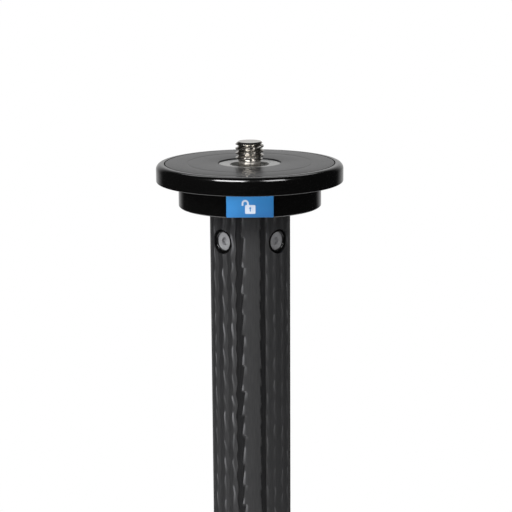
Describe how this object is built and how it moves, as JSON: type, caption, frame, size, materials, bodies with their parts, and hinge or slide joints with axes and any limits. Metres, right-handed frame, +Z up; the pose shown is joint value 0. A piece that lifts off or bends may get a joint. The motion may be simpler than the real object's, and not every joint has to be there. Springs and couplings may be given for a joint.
{
  "type": "camera tripod",
  "caption": "Camera tripod with a round head plate and screw stud, a raised centre column, twist locks and telescoping legs on a spider.",
  "frame": {"origin": "on the floor under the centre column's axis", "axes": "+Z up along the column, the lock button faces -Y, one leg points to +Y"},
  "size_m": [0.4438, 0.3878, 0.7652],
  "materials": {
    "black_anodised": "satin",
    "pad_rubber": "matte",
    "insert_metal": "satin",
    "stud_steel": "satin",
    "blue_button": "satin",
    "white_print": "matte",
    "latch_steel": "satin",
    "carbon_tube": "satin",
    "screw_steel": "blackened",
    "black_plastic": "matte",
    "spider_casting": "painted",
    "grip_rubber": "matte"
  },
  "bodies": {
    "base": {"spider": "spider_casting", "column_bushing": "black_plastic", "column_collet": "black_plastic", "pivot_bolts": "screw_steel", "pivot_nuts": "screw_steel"},
    "column": {"column_tube": "carbon_tube", "column_end_cap": "black_plastic", "hub": "black_anodised", "hub_cover": "black_anodised", "hub_cover_screws": "screw_steel", "hub_screws": "screw_steel", "hub_screw_cups": "black_anodised"},
    "column_lock": {"column_lock_ring": "black_anodised", "lock_ring_grip": "grip_rubber"},
    "plate": {"head_plate": "black_anodised", "plate_pad": "pad_rubber", "plate_insert": "insert_metal", "head_stud": "stud_steel", "stud_nut": "stud_steel"},
    "latch": {"lock_button": "blue_button", "lock_symbol": "white_print", "latch_plate": "latch_steel"},
    "hook": {"weight_hook": "stud_steel", "hook_clip": "stud_steel"},
    "rear_leg": {"rear_shoulder": "spider_casting", "rear_upper_tube": "carbon_tube", "rear_upper_ferrule": "black_anodised"},
    "rear_stop": {"rear_angle_stop": "black_anodised"},
    "rear_upper_ring": {"rear_upper_lock": "grip_rubber"},
    "rear_middle": {"rear_middle_tube": "carbon_tube", "rear_middle_shim": "black_plastic", "rear_lower_ferrule": "black_anodised"},
    "rear_lower_ring": {"rear_lower_lock": "grip_rubber"},
    "rear_lower": {"rear_lower_tube": "carbon_tube", "rear_lower_shim": "black_plastic", "rear_foot": "grip_rubber"},
    "left_leg": {"left_shoulder": "spider_casting", "left_upper_tube": "carbon_tube", "left_upper_ferrule": "black_anodised"},
    "left_stop": {"left_angle_stop": "black_anodised"},
    "left_upper_ring": {"left_upper_lock": "grip_rubber"},
    "left_middle": {"left_middle_tube": "carbon_tube", "left_middle_shim": "black_plastic", "left_lower_ferrule": "black_anodised"},
    "left_lower_ring": {"left_lower_lock": "grip_rubber"},
    "left_lower": {"left_lower_tube": "carbon_tube", "left_lower_shim": "black_plastic", "left_foot": "grip_rubber"},
    "right_leg": {"right_shoulder": "spider_casting", "right_upper_tube": "carbon_tube", "right_upper_ferrule": "black_anodised"},
    "right_stop": {"right_angle_stop": "black_anodised"},
    "right_upper_ring": {"right_upper_lock": "grip_rubber"},
    "right_middle": {"right_middle_tube": "carbon_tube", "right_middle_shim": "black_plastic", "right_lower_ferrule": "black_anodised"},
    "right_lower_ring": {"right_lower_lock": "grip_rubber"},
    "right_lower": {"right_lower_tube": "carbon_tube", "right_lower_shim": "black_plastic", "right_foot": "grip_rubber"}
  },
  "joints": [
    {"name": "plate_lift", "type": "slide", "parent": "column", "child": "plate", "axis": [0, 0, 1], "range_m": [0, 0.028]},
    {"name": "lock_button_push", "type": "slide", "parent": "column", "child": "latch", "axis": [0, 1, 0], "range_m": [0, 0.0025]},
    {"name": "column_slide", "type": "slide", "parent": "base", "child": "column", "axis": [0, 0, 1], "range_m": [-0.198, 0.06]},
    {"name": "column_lock_twist", "type": "hinge", "parent": "base", "child": "column_lock", "pos_m": [0, 0, 0.54366], "axis": [0, 0, 1], "range_deg": [0, 120]},
    {"name": "hook_swivel", "type": "hinge", "parent": "column", "child": "hook", "pos_m": [0, 0, 0.35446], "axis": [0, 0, 1], "continuous": true},
    {"name": "rear_leg_fold", "type": "hinge", "parent": "base", "child": "rear_leg", "pos_m": [0, 0.038, 0.49166], "axis": [-1, 0, 0], "range_deg": [0, 23]},
    {"name": "rear_angle_stop_pull", "type": "slide", "parent": "rear_leg", "child": "rear_stop", "axis": [0, 0.9205, 0.3907], "range_m": [0, 0.006]},
    {"name": "rear_upper_lock_twist", "type": "hinge", "parent": "rear_leg", "child": "rear_upper_ring", "pos_m": [0, 0.038, 0.49166], "axis": [0, 0.3907, -0.9205], "range_deg": [0, 120]},
    {"name": "rear_middle_slide", "type": "slide", "parent": "rear_leg", "child": "rear_middle", "axis": [0, 0.3907, -0.9205], "range_m": [0, 0.335]},
    {"name": "rear_lower_lock_twist", "type": "hinge", "parent": "rear_middle", "child": "rear_lower_ring", "pos_m": [0, 0.038, 0.49166], "axis": [0, 0.3907, -0.9205], "range_deg": [0, 120]},
    {"name": "rear_lower_slide", "type": "slide", "parent": "rear_middle", "child": "rear_lower", "axis": [0, 0.3907, -0.9205], "range_m": [0, 0.37]},
    {"name": "left_leg_fold", "type": "hinge", "parent": "base", "child": "left_leg", "pos_m": [-0.03291, -0.019, 0.49166], "axis": [0.5, -0.866, 0], "range_deg": [0, 23]},
    {"name": "left_angle_stop_pull", "type": "slide", "parent": "left_leg", "child": "left_stop", "axis": [-0.7972, -0.4603, 0.3907], "range_m": [0, 0.006]},
    {"name": "left_upper_lock_twist", "type": "hinge", "parent": "left_leg", "child": "left_upper_ring", "pos_m": [-0.03291, -0.019, 0.49166], "axis": [-0.3384, -0.1954, -0.9205], "range_deg": [0, 120]},
    {"name": "left_middle_slide", "type": "slide", "parent": "left_leg", "child": "left_middle", "axis": [-0.3384, -0.1954, -0.9205], "range_m": [0, 0.335]},
    {"name": "left_lower_lock_twist", "type": "hinge", "parent": "left_middle", "child": "left_lower_ring", "pos_m": [-0.03291, -0.019, 0.49166], "axis": [-0.3384, -0.1954, -0.9205], "range_deg": [0, 120]},
    {"name": "left_lower_slide", "type": "slide", "parent": "left_middle", "child": "left_lower", "axis": [-0.3384, -0.1954, -0.9205], "range_m": [0, 0.37]},
    {"name": "right_leg_fold", "type": "hinge", "parent": "base", "child": "right_leg", "pos_m": [0.03291, -0.019, 0.49166], "axis": [0.5, 0.866, 0], "range_deg": [0, 23]},
    {"name": "right_angle_stop_pull", "type": "slide", "parent": "right_leg", "child": "right_stop", "axis": [0.7972, -0.4603, 0.3907], "range_m": [0, 0.006]},
    {"name": "right_upper_lock_twist", "type": "hinge", "parent": "right_leg", "child": "right_upper_ring", "pos_m": [0.03291, -0.019, 0.49166], "axis": [0.3384, -0.1954, -0.9205], "range_deg": [0, 120]},
    {"name": "right_middle_slide", "type": "slide", "parent": "right_leg", "child": "right_middle", "axis": [0.3384, -0.1954, -0.9205], "range_m": [0, 0.335]},
    {"name": "right_lower_lock_twist", "type": "hinge", "parent": "right_middle", "child": "right_lower_ring", "pos_m": [0.03291, -0.019, 0.49166], "axis": [0.3384, -0.1954, -0.9205], "range_deg": [0, 120]},
    {"name": "right_lower_slide", "type": "slide", "parent": "right_middle", "child": "right_lower", "axis": [0.3384, -0.1954, -0.9205], "range_m": [0, 0.37]}
  ]
}
